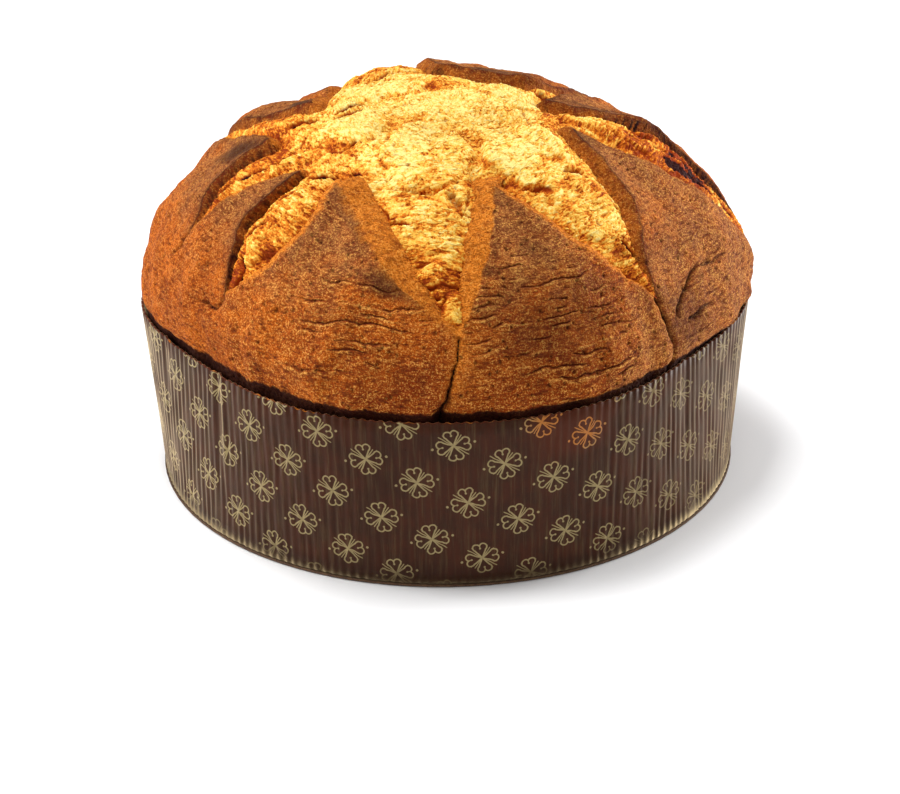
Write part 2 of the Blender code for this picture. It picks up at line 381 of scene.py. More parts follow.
def meshPiece(name, points, faces, readings, finish):
    mesh = bpy.data.meshes.new(name)
    mesh.from_pydata((points * mm).tolist(), [], faces.tolist())
    for label, values in readings.items():
        kind = "FLOAT_VECTOR" if values.ndim == 2 else "FLOAT"
        attribute = mesh.attributes.new(label, kind, "POINT")
        field = "vector" if values.ndim == 2 else "value"
        attribute.data.foreach_set(field, values.astype(np.float32).ravel())
    mesh.shade_smooth()
    mesh.materials.append(finish)
    piece = bpy.data.objects.new(name, mesh)
    bpy.context.scene.collection.objects.link(piece)
    return piece


def drawnRound(places, girth):  # places squeezed round the crown, for strands and wrinkles
    reach = gapTo(places)[:, None]
    drawn = smooth(12, 42, reach)
    squeezed = places / np.maximum(reach, 1e-6) * girth
    flat = places * (1 - drawn) + squeezed * drawn
    return np.concatenate([flat, reach * drawn], axis=1) * mm


# Where the whole dome stands higher or lower than a plain one: place, reach and height
uneven = ((-72, 34, 14, 4.2), (-43, 38, 12, -2.6), (47, 31, 12, -3.4), (-2, 22, 14, 1))

# and its long, gentle waves: length, height and where they start
waves = ((61, 0.9, 0.4), (37, 0.6, 2.1), (23, 0.4, 4.4))


def swells(places):
    total = np.zeros(len(places))
    for x, y, reach, height in uneven:
        total += height * hill(gapTo(places, x, y), reach)
    for length, height, phase in waves:
        across = places[:, 0] / length * math.tau + phase
        total += height * np.sin(across) * np.cos(places[:, 1] / length * math.tau - phase)
    return total


# Finishes

class Value:  # a socket that can be used in sums
    def __init__(self, finish, socket):
        self.finish = finish
        self.socket = socket

    def sum(self, operation, *terms):
        return self.finish.node("ShaderNodeMath", {"operation": operation}, dict(enumerate(terms)))

    def __abs__(self):
        return self.sum("ABSOLUTE", self)

    def fract(self):
        return self.sum("FRACT", self)

    def atMost(self, other):
        return self.sum("MINIMUM", self, other)

    def atLeast(self, other):
        return self.sum("MAXIMUM", self, other)

    def step(self, low, high):  # 0 below low, 1 above high, eased between
        return self.finish.node("ShaderNodeMapRange", {"interpolation_type": "SMOOTHSTEP"},
                                {"Value": self, "From Min": low, "From Max": high})


for sign, operation in (("add", "ADD"), ("sub", "SUBTRACT"), ("mul", "MULTIPLY"),
                        ("truediv", "DIVIDE")):
    setattr(Value, f"__{sign}__", lambda a, b, kind=operation: a.sum(kind, a, b))
    setattr(Value, f"__r{sign}__", lambda a, b, kind=operation: a.sum(kind, b, a))


def length(a, b):
    squares = a * a + b * b
    return squares.sum("SQRT", squares)


class Finish:
    def __init__(self, name):
        self.material = bpy.data.materials.new(name)
        self.material.use_nodes = True
        self.tree = self.material.node_tree
        self.tree.nodes.clear()
        self.place = self.node("ShaderNodeTexCoord", {}, {}, "Object")

    def node(self, kind, settings, sockets, output=0):
        made = self.tree.nodes.new(kind)
        for key, value in settings.items():
            if key == "stops":
                while len(made.color_ramp.elements) < len(value):
                    made.color_ramp.elements.new(0.5)
                for element, (position, colour) in zip(made.color_ramp.elements, value):
                    element.position = position
                    element.color = (*colour, 1)
            else:
                setattr(made, key, value)
        for key, value in sockets.items():
            if isinstance(value, Value):
                self.tree.links.new(value.socket, made.inputs[key])
            elif isinstance(value, tuple) and made.inputs[key].type == "RGBA":
                made.inputs[key].default_value = (*value, 1)
            else:
                made.inputs[key].default_value = value
        return Value(self, made.outputs[output]) if made.outputs else None

    def reading(self, label, output="Fac"):
        return self.node("ShaderNodeAttribute", {"attribute_name": label}, {}, output)

    def grain(self, size, detail=3, rough=0.5, where=None):  # noise with bumps of size mm
        return self.node("ShaderNodeTexNoise", {}, {"Vector": where or self.place,
                         "Scale": 1 / (size * mm), "Detail": detail, "Roughness": rough})

    def blend(self, share, first, second):
        return self.node("ShaderNodeMix", {"data_type": "RGBA"}, {0: share, 6: first, 7: second}, 2)

    def coated(self, look, colour, *coats):  # coats of colour: share, and tone or its name
        for share, tone in coats:
            colour = self.blend(share, colour, look[tone] if isinstance(tone, str) else tone)
        return colour

    def ramp(self, share, stops):
        return self.node("ShaderNodeValToRGB", {"stops": stops}, {0: share})

    def bump(self, height, depth, strength=1):  # depth in mm
        return self.node("ShaderNodeBump", {}, {"Height": height, "Distance": depth * mm,
                                                "Strength": strength})

    def split(self, vector):  # a vector's first two parts
        return [self.node("ShaderNodeSeparateXYZ", {}, {0: vector}, part) for part in (0, 1)]

    def surface(self, sockets):
        shader = self.node("ShaderNodeBsdfPrincipled", {}, sockets)
        self.node("ShaderNodeOutputMaterial", {"target": "ALL"}, {"Surface": shader})
        return self.material


def lit(red, green, blue):  # a colour as a screen shows it, 0 to 255
    return tuple((part / 255) ** 2.2 for part in (red, green, blue))


crustLook = {
    "base": lit(200, 98, 22),
    "golden": lit(250, 180, 88),
    "deep": lit(116, 38, 6),
    "burnt": lit(174, 107, 58),
    "burntDeep": lit(86, 36, 14),
    "char": lit(58, 35, 24),
    "lip": lit(222, 126, 38),
    "lipBrown": lit(92, 40, 16),
    "cleft": lit(40, 10, 3),
    "patches": 13,           # sizes of its grain, in millimetres
    "wrinkle": 1.25,
    "specks": 0.62,
    "dust": 0.9,
    "lipFlecks": 2.2,
    "roughness": 0.8,
    "specular": 0.1,
    "bump": 0.95,
}


def crustFinish():
    look = crustLook
    finish = Finish("bakedCrust")
    burn, lip, brown, char, cleft, low = [
        finish.reading(label) for label in ("burn", "lip", "brown", "char", "cleft", "low")]
    drawn = finish.reading("drawn", "Vector")
    row, shown = finish.split(finish.reading("crease", "Vector"))
    patches = finish.grain(look["patches"], 4, 0.6)
    wrinkle = finish.grain(look["wrinkle"], 3, 0.75, drawn)
    specks = finish.grain(look["specks"], 2, 0.8)
    dust = finish.grain(look["dust"], 2, 0.7)
    lipFlecks = finish.grain(look["lipFlecks"], 3, 0.7, drawn).step(0.50, 0.62)
    fold = row.fract()
    folded = shown * (1 - lip)        # wrinkles fade out on the torn sides
    edge = 0.5 - abs(fold - 0.5)
    # the grooves get painted shade and the ridges a painted highlight
    groove = (1 - (edge + (dust - 0.5) * 0.12).step(0, 0.16)) * folded
    ridge = (1 - (fold - 0.26).step(0, 0.2)) * fold.step(0.1, 0.2) * folded
    scorched = finish.coated(look, look["burnt"], (patches.step(0.34, 0.62) * 0.4, "burntDeep"))
    torn = finish.coated(look, look["lip"], (brown, "lipBrown"), (lipFlecks * 0.45, "deep"))
    soften = 1 - lip * 0.45           # the grain is weaker there
    # painted highlight on the speck tops and wrinkle ridges, over real golden grain
    light = specks.step(0.50, 0.64) * (0.85 - lip * 0.3 - brown * 0.3) + ridge * 0.5
    colour = finish.coated(
        look, look["base"],
        (patches.step(0.36, 0.66) * 0.5, "deep"),
        (burn, scorched),
        # painted shade low at the front
        (low, "deep"),
        (lip, torn),
        # darker in the low spots of the wrinkle and speck bump: painted shade
        ((1 - wrinkle.step(0.38, 0.52)) * 0.62 * soften, "burntDeep"),
        (light * wrinkle.step(0.36, 0.60), "golden"),
        ((1 - specks.step(0.36, 0.47)) * 0.75, "deep"),
        ((1 - wrinkle.step(0.28, 0.36)) * 0.6 * soften, "cleft"),
        (char * (0.35 + wrinkle), "char"),
        (groove * 0.55, "deep"),
        # near-black painted shade in cracks, pits, torn-side holes and along the paper
        (cleft.atLeast(groove * groove * 0.6), "cleft"),
    )
    roughness = look["roughness"] + (specks - 0.5) * 0.3
    height = specks * 0.9 + wrinkle * 1.8 * soften - groove * 1.2
    return finish.surface({
        "Base Color": colour, "Roughness": roughness,
        "Normal": finish.bump(height, look["bump"]), "Specular IOR Level": look["specular"],
    })


crumbLook = {
    "cream": lit(252, 226, 138),
    "golden": lit(246, 190, 78),
    "orange": lit(216, 118, 30),
    "toasted": lit(140, 54, 14),
    "ember": lit(150, 56, 10),
    "cavity": lit(46, 10, 3),
    "strands": 1.5,            # sizes of its grain, in millimetres
    "fine": 0.8,
    "flecks": 2.6,
    "threads": 2.9,
    "folds": 7.5,
    "roughness": 0.8,
    "specular": 0.1,
    "bump": 0.42,
}


def crumbFinish():
    look = crumbLook
    finish = Finish("tornCrumb")
    # carries real browning and painted shade that follows the relief
    toast = finish.reading("toast")
    hollow = finish.reading("hollow")
    drawn = finish.reading("drawn", "Vector")
    strands = finish.grain(look["strands"], 4, 0.7, drawn)
    fine = finish.grain(look["fine"], 2, 0.7)
    flecks = finish.grain(look["flecks"], 5, 0.75, drawn).step(0.54, 0.66)
    threads = abs(finish.grain(look["threads"], 2.5, 0.6, drawn) - 0.5).step(0, 0.05)
    folds = abs(finish.grain(look["folds"], 3, 0.6, drawn) - 0.5).step(0, 0.05)
    # darker where the grain's bump is low and along its thread and fold creases: painted shade
    # following the bump; the flecks are real colour
    shade = toast + (0.5 - strands) * 1.7 + (0.5 - fine) + flecks * 0.14
    shade = shade + (1 - threads) * 0.20 + (1 - folds) * 0.22
    colour = finish.ramp(shade, (
        (0, look["cream"]), (0.32, look["golden"]),
        (0.66, look["orange"]), (1, look["toasted"])))
    # painted dark red and near-black shade in the nicks and tears
    hollow = hollow * (0.7 + strands * 0.7)
    colour = finish.coated(look, colour, (hollow.step(0.1, 0.7), "ember"),
                           (hollow.step(0.6, 1), "cavity"))
    height = fine * 0.6 + strands * 1.4 + threads * 0.5 + folds * 0.8
    return finish.surface({
        "Base Color": colour, "Roughness": look["roughness"],
        "Normal": finish.bump(height, look["bump"]), "Specular IOR Level": look["specular"],
    })


# Crumb, torn open between the petals

crumb = {
    "spacing": 0.485,
    "middle": (2, -18),    # palest round here, and browner outwards
    "strand": (5.5, 1.15),     # how long and how thick its pulled strands are
    "strandHeight": 0.36,
    "flake": (9, 3.4),       # and the torn layers
    "flakeHeight": 0.55,
    "layers": 3.2,
    "swells": ((26, 0.9), (9, 0.45)),  # size and height of its soft bumps
    "warp": (2.4, 0.7),        # how much its pillows and strands wander
    "nicks": 0.84,             # share of the crumb without nicks
    "nickDepth": 0.6,
    "toast": 0.22,             # how brown it is all over, towards the outside, how much painted shade lies between the pillows, and how brown it is beside the crust
    "rimToast": 0.26,          # towards the outside,
    "seamShade": 0.34,         # between the pillows
    "edgeToast": 0.20,         # and beside the crust
}

# Puffed pillows: place, half length, half width, direction in degrees, height and paleness
pillows = (
    (-20, 4, 15, 7.5, 4, 2, 1.25), (24, -1, 13, 8.5, -32, 1.6, 1.2),
    (-33, -4, 6, 4.5, 0, 1.2, 1.1), (-33, -23, 15, 10, 0, 1.6, 0.75),
    (-6, -43, 15, 18, 0, 1.6, 0.7), (29, -40, 18, 16, -30, 2.2, 0.75),
    (51, -58, 21, 11, -33, 1.8, 0.35), (4, -12, 19, 14, 0, 1, 0.7),
    (-58, -60, 19, 12, 12, 2.2, 0.3), (-70, -32, 27, 4.5, 4, 1.2, 0.45),
    (60, -9, 22, 7, -3, 1.4, 0.25), (2, 32, 13, 8, 0, 1.6, 0.5), (-52, 26, 14, 7, 48, 1.4, 0.4),
    (58, 34, 16, 8, 35, 1.4, 0.3), (-22, 60, 10, 18, 0, 1.8, 0.4), (-7, -76, 13, 11, 0, 1, 0.45),
    (3, -105, 4, 8, -10, 1.6, 0.7), (-40, 40, 9, 14, 0, 1.2, 0.4), (-3, -94, 9, 4, 0, 0.9, 0.3),
)

# Baked darker: place, reach and how much
toasted = (
    (78, -4, 27, 0.24), (92, 8, 20, 0.16), (74, -74, 13, 0.10), (-74, -24, 20, 0.16),
    (-50, -4, 12, 0.20), (40, -16, 11, 0.22), (-33, -50, 9, 0.32), (22, -62, 9, 0.16),
    (-84, -70, 10, 0.30), (4, -98, 9, 0.12), (-30, -68, 10, 0.2), (-2, 28, 12, 0.22),
    (30, 20, 12, 0.24), (-26, 36, 16, 0.25), (-56, 12, 14, 0.2), (62, -4, 16, 0.12),
    (-40, -36, 13, 0.22), (-56, -26, 16, 0.12), (-62, -14, 16, 0.2), (50, -50, 10, 0.12),
    (90, -12, 14, 0.2), (0, -96, 7, 0.2), (1, 4, 8, 0.3), (6, -34, 17, 0.12), (-6, -64, 19, 0.13),
    (-58, -60, 18, 0.12), (44, -50, 18, 0.08),
)

# Tears and creases: half width, depth and darkness of their painted dark red shade, then the x and
# y of each point
tears = (
    (1.5, 2.6, 0.9, -28, 20, -17, 24, -6, 20), (1.3, 2.4, 0.9, 0, 22, 5, 23, 9, 19),
    (2.6, 4, 1, 22, 16, 30, 14, 37, 8), (0.9, 1.6, 0.9, -37, -8, -31, -7, -27, -6),
    (1.8, 2, 1, -54, -8, -48, -6, -42, -8), (0.8, 1.3, 0.7, -41, -32, -36, -35, -30, -32),
    (0.8, 1, 0.4, 27, -8, 29, -18, 31, -26), (1.2, 1.6, 0.6, 41, -47, 46, -45, 50, -44),
    (1, 1, 0.6, 30, -58, 34, -56, 38, -57), (2.2, 1.8, 0.22, 13, -41, 11, -49, 10, -58),
    (0.6, 1.2, 0.4, 9, -60, 8, -66, 6, -72), (0.7, 0.8, 0.3, -20, -57, -12, -60, -8, -61),
    (1, 1.5, 0.35, -8, -61, -4, -62, 1, -60), (1.6, 2.2, 0.45, 2, -63, 4, -65, 6, -69),
    (0.7, 1.2, 0.7, -22, -64, -20, -67, -19, -70), (0.8, 1.3, 0.7, -20, -72, -15, -73, -11, -75),
    (0.8, 1.5, 0.6, 8, -80, 9, -85, 8, -90), (1.1, 2, 0.9, -20, -90, -15, -95, -10, -98),
    (0.7, 1.2, 0.6, -14, -89, -9, -90, -4, -89),
    (1.1, 1.3, 0.7, -10, -98, -5, -98, -1, -97, 3, -98),
    (1.2, 1.1, 0.65, -9, -101, -5, -102, -1, -101), (0.7, 0.9, 0.6, 3, -97, 5, -98, 8, -97),
    (0.7, 0.8, 0.4, -4, -107, -1, -104, 1, -101), (1.9, 2.2, 1, -88, -27, -82, -28, -76, -28),
    (1, 1.4, 1, -76, -28, -68, -29, -62, -28, -54, -24),
    (0.7, 1, 0.6, -54, -24, -48, -19, -44, -15), (0.6, 1.2, 0.8, -64, -55, -58, -53, -52, -52),
    (2.4, 3.6, 1, -74, -55, -71, -57, -66, -59), (1.2, 2, 0.9, -72, -54, -68, -53, -65, -55),
    (1.3, 2, 1, -79, -63, -78, -70, -84, -74, -88, -73),
    (0.9, 1.4, 0.9, -36, -49, -31, -47, -27, -50), (0.8, 1.4, 0.9, -49, -44, -42, -45, -36, -47),
    (0.7, 1.2, 0.8, -38, -54, -33, -51, -31, -55),
    (3.2, 0.7, 1.2, 78, -11, 85, -11, 93, -8, 101, -6), (5, 1.4, 1.2, 79, -4, 90, -2, 101, 0),
    (2.4, 1.5, 1, 102, -2, 109, -2, 116, -1), (2.2, 1.6, 1, 60, 0, 67, 0, 74, -2),
    (1.2, 1.2, 1, 64, -8, 67, -9, 70, -8), (1.1, 1.2, 0.7, -39, -12, -34, -11, -27, -10),
    (2, 1.6, 1, 14, 10, 24, 9, 34, 12, 39, 8), (1.3, 1.2, 0.4, -38, 22, -26, 30, -10, 34),
    (1.6, 1.6, 0.5, -34, 30, -22, 37, -8, 40), (1.6, 2, 0.7, -14, 26, -6, 30, 2, 30),
    (1.4, 2.4, 0.8, 10, 26, 20, 27, 32, 24), (1.4, 2.2, 0.9, 63, -5, 67, -7, 70, -6),
    (1.2, 2, 0.9, 73, -8, 78, -6, 82, -8), (1.2, 2, 0.9, 70, 0, 76, 2, 80, 3),
    (1.1, 2, 0.8, 84, -4, 92, -6, 99, -9), (0.8, 1.2, 0.6, 58, -12, 66, -14, 74, -14),
    (0.8, 1.2, 0.6, 48, -8, 54, -9, 60, -8), (0.9, 1.6, 0.9, 56, -44, 60, -48, 65, -54),
    (0.7, 1.3, 1, 65, -68, 73, -69, 80, -71), (1.6, 3, 1, -34, 66, -30, 80, -28, 94),
    (1.8, 3.2, 1, 60, 50, 70, 62, 78, 74), (1.8, 3.4, 1, -66, 22, -76, 34, -88, 48),
    (0.9, 1.8, 0.7, -50, 14, -47, 30, -44, 44), (1, 1.8, 0.7, 40, 26, 50, 34, 58, 44),
)


def pulled(places, size, seed, layers):  # soft noise drawn out round the crown
    reach = gapTo(places, 0, -6)
    flow = np.arctan2(places[:, 1] + 6, places[:, 0]) + math.pi / 2
    flow = np.where(reach < 1e-6, 0, flow) + 0.5 * noise(places, 16, seed + 3)
    total, weights = 0, 1e-9
    centre = fall(18, 40, reach)
    for turn in range(4):
        angle = turn * math.pi / 4
        weight = held(np.cos(2 * (flow - angle))) ** 2 * (1 - centre)
        weight = weight + (centre if turn == 0 else 0)
        u = (places[:, 0] * math.cos(angle) + places[:, 1] * math.sin(angle)) / size[0]
        v = (places[:, 1] * math.cos(angle) - places[:, 0] * math.sin(angle)) / size[1]
        total = total + weight * layered(joined(u, v), 1, seed, layers, 0.6)
        weights = weights + weight
    return total / weights


def crumbRelief(places, edge):
    near = edge["near"]
    rise = edge["softDrop"] + 1.2
    relief = swells(places) - edge["softDrop"] - 0.9
    relief += rise * (1 - np.exp(-np.clip(near - edge["softWidth"] + 1.5, 0, None) / 3.6))
    warp = joined(noise(places, 9, 71), noise(places, 9, 72))
    small = joined(noise(places, 3.5, 91), noise(places, 3.5, 92))
    soft = places + warp * crumb["warp"][0] + small * crumb["warp"][1]
    hazy = layered(places, 6, 95, 2)
    puff = np.zeros(len(places))
    seam = np.zeros(len(places))
    pale = np.zeros(len(places))
    for x, y, half, width, degrees, height, paleness in pillows:
        spread = oval(soft, x, y, half, width, degrees)
        puff = np.maximum(puff, height * np.sqrt(held(1 - spread ** 2.4)))
        seam = np.maximum(seam, hill(spread - 1.03, 1.1 / width) * min(1, height / 1.8))
        pale = np.maximum(pale, paleness * fall(0.45, 1.2, spread + 0.35 * hazy))
    seam = seam * smooth(-0.5, 0.35, noise(places, 11, 93))
    (broad, high), (tight, slight) = crumb["swells"]
    relief += puff + high * noise(places, broad, 73) + slight * noise(soft, tight, 74) - 0.5 * seam
    strands = 1 - 2.4 * np.abs(pulled(soft, crumb["strand"], 78, 3))
    layers = crumb["layers"] * pulled(soft, crumb["flake"], 76, 3)
    part = layers % 1
    shown = smooth(-0.3, 0.3, noise(places, 7, 97))
    flakes = np.floor(layers) + smooth(0, 0.16, part) - 0.75 * layers
    under = smooth(0.74, 0.98, part) * shown
    relief += crumb["strandHeight"] * strands
    relief += crumb["flakeHeight"] * flakes * (0.3 + 0.7 * shown)
    spot, pick = pores(joined(soft[:, 0] / 2.4, soft[:, 1]), 2.1, 85)
    nick = fall(0.10, 0.34, spot) * (pick > crumb["nicks"])
    relief -= crumb["nickDepth"] * nick
    # painted shade in the nicks
    hollow = 0.45 * nick
    hurt = layered(places, 3.2, 81, 2)
    for width, depth, dark, *route in tears:
        line = roundedLine(np.reshape(route, (-1, 2)), 6)
        here = around(places, line, width * 4)
        if not here.any():
            continue
        gap, _, along = nearestOn(places[here], line)
        ends = smooth(0.8, 1, along) + fall(0, 0.2, along)
        spread = gap / width + 0.55 * hurt[here] + 0.6 * ends
        inner = fall(0.35, 1.15, spread)
        relief[here] -= depth * inner
        # painted shade in the tears
        hollow[here] = np.maximum(hollow[here], inner * dark)
    crest = np.clip(0.7 * strands, -1, 1)
    outward = smooth(34, 100, gapTo(places, *crumb["middle"]))
    # real browning plus painted light: painted shade in the seams between pillows, and pillows
    # painted paler, partly real colour and partly painted light
    toast = crumb["toast"] + crumb["rimToast"] * outward - 0.26 * pale + crumb["seamShade"] * seam
    for x, y, reach, amount in toasted:
        gone = gapTo(places, x, y) / reach + 0.25 * hazy
        toast += amount * fall(0.5, 1.1, gone)
    toast += crumb["edgeToast"] * np.exp(-np.clip(near - edge["softWidth"], 0, None) / 2.2)
    # darker under each flake's edge and lighter along its top: painted shade and painted highlight
    toast += 0.42 * under - 0.12 * shown * fall(0.05, 0.3, part)
    # paler on the strand crests: painted highlight
    toast += 0.18 * layered(places, 10, 83) - 0.20 * crest
    return relief, {"toast": held(toast), "hollow": held(hollow),
                    "drawn": drawnRound(places, 28)}


def crumbPiece(finish):
    rows, faces = hexSheet(opening.min(axis=0) - 1, opening.max(axis=0) + 1, crumb["spacing"])
    keep = insideOf(rows, opening).ravel()
    places, faces = trimmed(rows.reshape(-1, 2), faces, keep)
    relief, readings = crumbRelief(places, edgeReading(places, petals))
    piece = meshPiece("tornCrumb", onDome(places, relief), faces, readings, finish)
    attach(piece, "root")
    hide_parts("loaf")
    print("tornCrumb", len(faces), "triangles")


crumbPiece(crumbFinish())


# Crust: three sheets, split where the loaf has cracked right down to the paper

crustSheets = {
    "crustLeft": {"petals": ("leftBack", "left", "leftFront", "frontLeft"), "from": "back",
                  "to": "front", "spacing": 0.63},
    "crustFront": {"petals": ("frontRight",), "from": "front", "to": "rightFront", "spacing": 0.42},
    "crustRight": {"petals": ("right", "backRight", "back"), "from": "rightFront", "to": "back",
                   "spacing": 0.63},
}

crustForm = {
    "lipBand": 11,           # how far a sheet runs on under the crumb's edge, millimetres
    "swell": (15, 0.45),     # size and height of its soft bumps
    "dimples": (3.4, 0.22),
    "wrinkleStep": 3.3,        # from one wrinkle to the next
    "wrinkleRound": 118,     # radius that they are laid out on
    "wrinkleHeight": 0.62,
    "wrinkleGroove": 0.3,
    "pits": 0.72,              # share of the crust without pits
    "pitDepth": 0.5,
    "spongeDepth": 0.6,        # of the holes on the torn sides
    "burnReach": (24, 56),  # browner from this near a tip to this far from it
    "rimGap": (140.2, 141.2),  # from the crown to the painted shade line along the paper, which is wider round here, in degrees from the front
    "shadedRimSpan": (-37, 30),  # which is wider round here, in degrees from the front
    "rimGrain": (1.6, 0.35),
}

# Wrinkled patches of crust: place, half length, half height and strength
wrinkles = (
    (-30, -106, 36, 20, 1), (40, -106, 46, 26, 1.2), (106, -58, 18, 30, 0.6),
    (-88, -95, 24, 14, 0.3), (-80, 90, 26, 20, 0.7), (60, 120, 40, 16, 0.7),
)

# Scorched patches: place, half length, half width, direction in degrees and strength
scorches = (
    (-19, -97, 15, 4.5, -30, 0.75), (14, -92, 5, 2.5, 0, 0.6), (58, -87, 16, 5, 12, 0.4),
    (34, -93, 20, 7, 5, 0.35), (20, -104, 8, 12, 0, 0.4), (-36, -58, 4, 9, 0, 0.18),
    (-30, -74, 3, 14, 18, 0.35), (-45, -100, 16, 5, -5, 0.3), (56, -34, 10, 4, -45, 0.25),
    (75, -66, 5, 4, 0, 0.4), (-51, 15, 13, 5, -62, 0.95), (18, 34, 28, 14, 0, 0.75),
    (50, 4, 15, 4, 12, 0.6), (-71, -7, 14, 7, -38, 0.95), (42, -104, 34, 22, 22, 0.46),
    (104, -76, 21, 13, 50, 0.4), (34, -84, 14, 5, -14, 0.35), (66, -96, 12, 4, 20, 0.3),
)

# Painted shadow, nearly black, in deep places on the torn faces: place and reach
paintedShadowHoles = ((96, 4, 26), (-84, -64, 8), (-66, -56, 7), (-52, 20, 6))


def sheetOutline(sheet):
    star = starLine(sheet["petals"])
    down = crackLines[sheet["to"]]
    up = crackLines[sheet["from"]][::-1]
    first = math.atan2(down[-1][0], -down[-1][1])
    last = math.atan2(up[0][0], -up[0][1])
    if last > first:
        last -= math.tau
    turns = np.linspace(first, last, 200)[1:-1]
    reach = skirtEnd + 3
    rim = joined(reach * np.sin(turns), -reach * np.cos(turns))
    return np.concatenate([star, down, rim, up[:-1]])


def crustRelief(places, near, lift):
    (broad, high), (tight, slight) = crustForm["swell"], crustForm["dimples"]
    relief = swells(places) + lift * np.exp(-near / 9)
    relief += high * layered(places, broad, 3) + slight * layered(places, tight, 11, 3, 0.65)
    reach = gapTo(places)
    arc = fromFront(places) * crustForm["wrinkleRound"]
    patch = np.zeros(len(places))
    for x, y, wide, tall, amount in wrinkles:
        spread = oval(places, x, y, wide, tall) + 0.25 * noise(places, 12, 27)
        patch = np.maximum(patch, amount * fall(0.6, 1.1, spread))
    bent = joined(arc, reach)
    row = reach
    for sway, size, seed in ((2.4, 26, 25), (1.1, 9, 26), (0.35, 3, 28)):
        row = row + sway * noise(bent, size, seed)
    row = row / crustForm["wrinkleStep"]
    strength = noise(joined(arc / 21, reach / 4.2), 1, 29)
    strength += 0.25 * noise(joined(arc / 5, reach / 3), 1, 30)
    shown = held(patch * smooth(-0.08, 0.22, strength))
    fold = row % 1
    ridge = np.exp(-fold * 3) * smooth(0, 0.12, fold)
    groove = hill(np.minimum(fold, 1 - fold), 0.12)
    relief += shown * (crustForm["wrinkleHeight"] * ridge - crustForm["wrinkleGroove"] * groove)
    crease = joined(row, shown, 0 * row)
    cleft = np.zeros(len(places))
    for name, line in crackLines.items():
        close = np.linalg.norm(places - line.mean(axis=0), axis=1) < 40
        if not close.any():
            continue
        gap, _, along = nearestOn(places[close], line)
        depth = cracks[name][0] * np.ones(len(gap))
        if name not in ("front", "rightFront", "back"):
            depth *= smooth(0, 0.12, along) * fall(0.75, 1, along)
        if name == "front":
            depth *= 0.35 + 0.9 * smooth(0.1, 0.6, along)
        wide = (0.4 + 0.3 * depth) * (1 + 0.35 * noise(places[close], 3, 35))
        if name == "front":
            wide *= 1 + 0.9 * smooth(0.35, 0.75, along)
        relief[close] -= depth * hill(gap, wide) + 0.35 * depth * hill(gap, wide * 3)
        # painted shade in the cracks
        shade = held(depth / 1.4) * hill(gap, wide * 0.7)
        cleft[close] = np.maximum(cleft[close], shade)
    spots, pick = pores(places, 4, 31)
    spots = spots + 0.1 * noise(places, 1.2, 37)
    pit = (pick > crustForm["pits"]) * fall(0.08, 0.20, spots)
    relief -= crustForm["pitDepth"] * pit
    # and painted shade in the pits
    return relief, held(cleft + 0.6 * pit), crease


def sheetMesh(sheet):  # a sheet's places and faces, and which lie past its edge
    outline = sheetOutline(sheet)
    lipBand = crustForm["lipBand"]
    rows, faces = hexSheet(outline.min(axis=0) - lipBand - 1, outline.max(axis=0) + lipBand + 1,
                           sheet["spacing"])
    places = rows.reshape(-1, 2)
    crust = insideOf(rows, outline).ravel() & (gapTo(places) < skirtEnd + 0.4)
    torn = insideOf(rows, opening).ravel()
    near = np.full(len(places), 1e9)
    for petal in sheet["petals"]:
        for line in edges[petal]:
            here = torn & around(places, line, lipBand)
            near[here] = np.minimum(near[here], nearestOn(places[here], line)[0])
    places, faces, band = trimmed(places, faces, crust | (torn & (near < lipBand)), torn)
    snap = sheet["spacing"] * 0.5
    for end in ("from", "to"):
        gap, foot, _ = nearestOn(places, crackLines[sheet[end]])
        places = np.where((gap < snap)[:, None], foot, places)
    edge = edgeReading(places, sheet["petals"])
    onEdge = edge["near"] < snap
    places[onEdge] = edge["foot"][onEdge]
    edge["near"][onEdge] = 0
    return places, faces, band & ~onEdge, edge


def turnedDown(places, band, edge, relief):  # past the edge the crust drops down to the crumb
    near, foot = edge["near"][band], edge["foot"][band]
    into = (places[band] - foot) / np.maximum(near, 1e-6)[:, None]
    width, drop = edge["width"][band], edge["drop"][band]
    full = np.hypot(width, drop)
    share = held(near / full)
    past = np.clip(near - full, 0, None)
    across = width * share + past * 0.5
    down = drop * share ** 1.5 * (1 + 0.15 * noise(foot, 6, 33)) + past * 0.8
    spots = foot + into * across[:, None]
    below = crumbRelief(spots, edgeReading(spots, petals))[0]
    level = relief[band] - down
    level += 0.22 * layered(spots, 2, 39, 2) + 0.35 * noise(spots, 7, 41) * share
    closing = smooth(0, 1.5, past)
    return spots, level * (1 - closing) + np.minimum(level, below - 1) * closing


